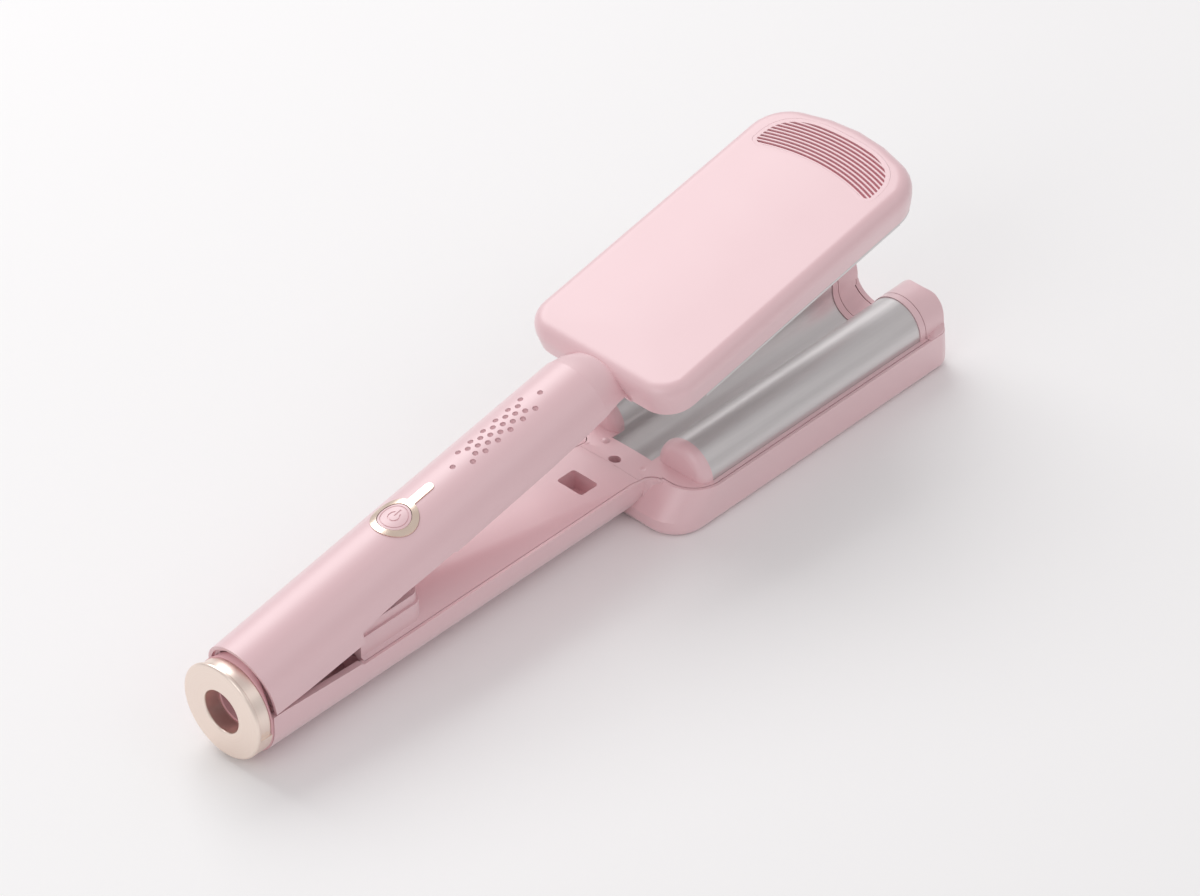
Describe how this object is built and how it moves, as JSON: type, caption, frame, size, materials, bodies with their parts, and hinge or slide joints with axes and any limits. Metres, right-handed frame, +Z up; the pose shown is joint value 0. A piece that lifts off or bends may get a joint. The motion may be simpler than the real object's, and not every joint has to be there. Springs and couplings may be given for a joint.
{
  "type": "hair waver",
  "caption": "Hand-held hair waver with two hinged arms, a waved pair of heating plates, a round power button, vents and a ring at the tail for the cord.",
  "frame": {"origin": "centre of the footprint, on the surface the lower arm rests on", "axes": "+X along the lower arm from the tail ring to the tip, +Y across the arms, +Z up towards the open upper arm"},
  "size_m": [0.299, 0.0644, 0.0855],
  "materials": {
    "pink_shell": "satin",
    "plate_silver": "brushed",
    "trim_gold": "satin",
    "steel": "bright",
    "heater_ceramic": "matt",
    "mica": "matt",
    "dark_resin": "matt",
    "rose_vent": "satin",
    "board_green": "matt",
    "white_resin": "satin"
  },
  "bodies": {
    "lower_arm": {"lower_shell": "pink_shell", "lower_cover": "pink_shell", "lower_frame": "pink_shell", "tip_cap": "pink_shell", "lower_plate": "plate_silver", "tail_cap": "trim_gold", "tail_collar": "pink_shell", "hinge_pins": "steel", "opening_spring": "steel", "lower_heaters": "heater_ceramic", "lower_clips": "steel", "lower_insulator": "mica", "thermal_fuse": "steel", "thermistor": "dark_resin", "lower_screw": "steel"},
    "upper_arm": {"upper_shell": "pink_shell", "vent_grille": "rose_vent", "upper_lid": "pink_shell", "upper_screw": "steel", "control_board": "board_green", "button_switch": "dark_resin", "button_bezel": "trim_gold", "upper_plate": "plate_silver", "heel_block": "pink_shell", "toe_block": "pink_shell", "upper_heater": "heater_ceramic", "upper_clips": "steel", "upper_insulator": "mica"},
    "button": {"power_button": "pink_shell", "switch_plunger": "white_resin"}
  },
  "joints": [
    {"name": "arm_hinge", "type": "hinge", "parent": "lower_arm", "child": "upper_arm", "pos_m": [-0.13755, 0, 0.017], "axis": [0, 1, 0], "range_deg": [0, 11.1], "stiffness_Nm_per_rad": 2, "springref_deg": -14.32, "deforming": ["opening_spring"]},
    {"name": "power_button", "type": "slide", "parent": "upper_arm", "child": "button", "axis": [0.1925, 0, -0.9813], "range_m": [0, 0.0008], "stiffness_N_per_m": 800, "springref_m": -0.0008}
  ]
}
